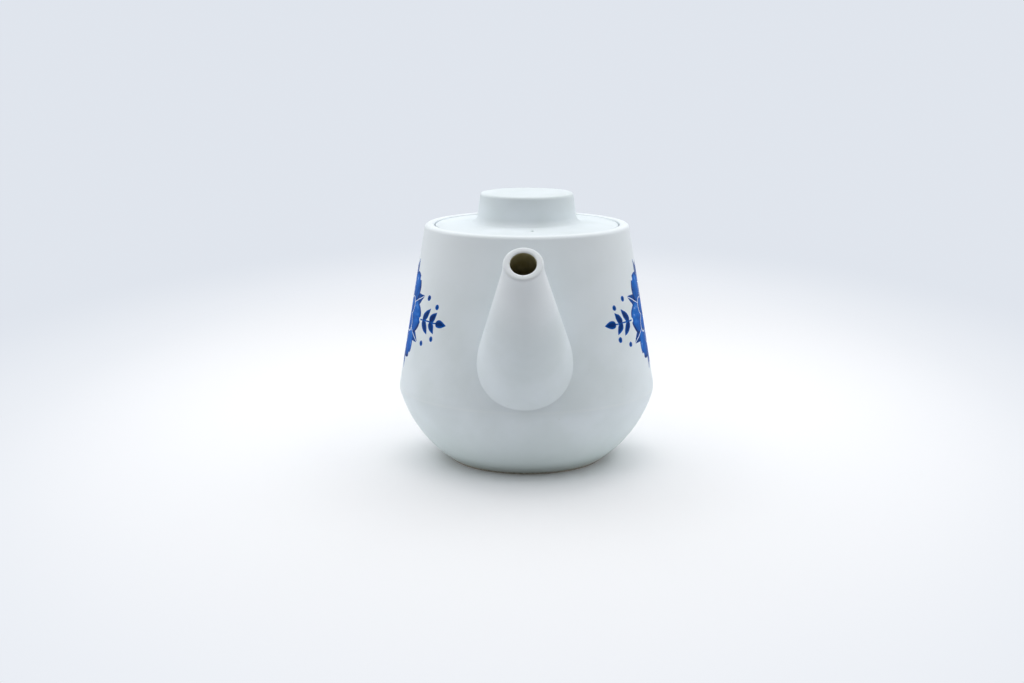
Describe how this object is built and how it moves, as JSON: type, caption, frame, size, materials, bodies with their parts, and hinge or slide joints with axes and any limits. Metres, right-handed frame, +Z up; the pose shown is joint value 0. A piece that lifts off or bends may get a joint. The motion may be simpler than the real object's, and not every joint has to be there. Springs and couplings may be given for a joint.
{
  "type": "porcelain teapot",
  "caption": "White porcelain teapot with a conical body, low rounded bowl, straight tapering spout, ear handle, lift-off lid with a round knob and a strainer behind the spout.",
  "frame": {"origin": "on the pot's axis, on the surface that it stands on", "axes": "+Z up along the pot's axis, -Y towards the spout, +Y towards the handle"},
  "size_m": [0.13, 0.2302, 0.1359],
  "materials": {
    "decorated_glaze": "satin white glaze with cobalt brushwork under it",
    "white_glaze": "satin white glaze",
    "lid_glaze": "satin white glaze",
    "stained_glaze": "satin glaze stained by tea",
    "bisque": "glazed outside, bare and ground flat underneath"
  },
  "bodies": {
    "pot": {"pot_bowl": "decorated_glaze", "pot_wall": "decorated_glaze", "pot_rim": "decorated_glaze", "foot_ring": "bisque", "spout": "white_glaze", "spout_strainer": "stained_glaze", "handle": "white_glaze"},
    "lid": {"lid_disc": "lid_glaze", "lid_collar": "lid_glaze", "lid_knob": "lid_glaze"}
  },
  "joints": [
    {"name": "lid_lift", "type": "slide", "parent": "pot", "child": "lid", "axis": [0, 0, 1], "range_m": [0, 0.06]}
  ]
}
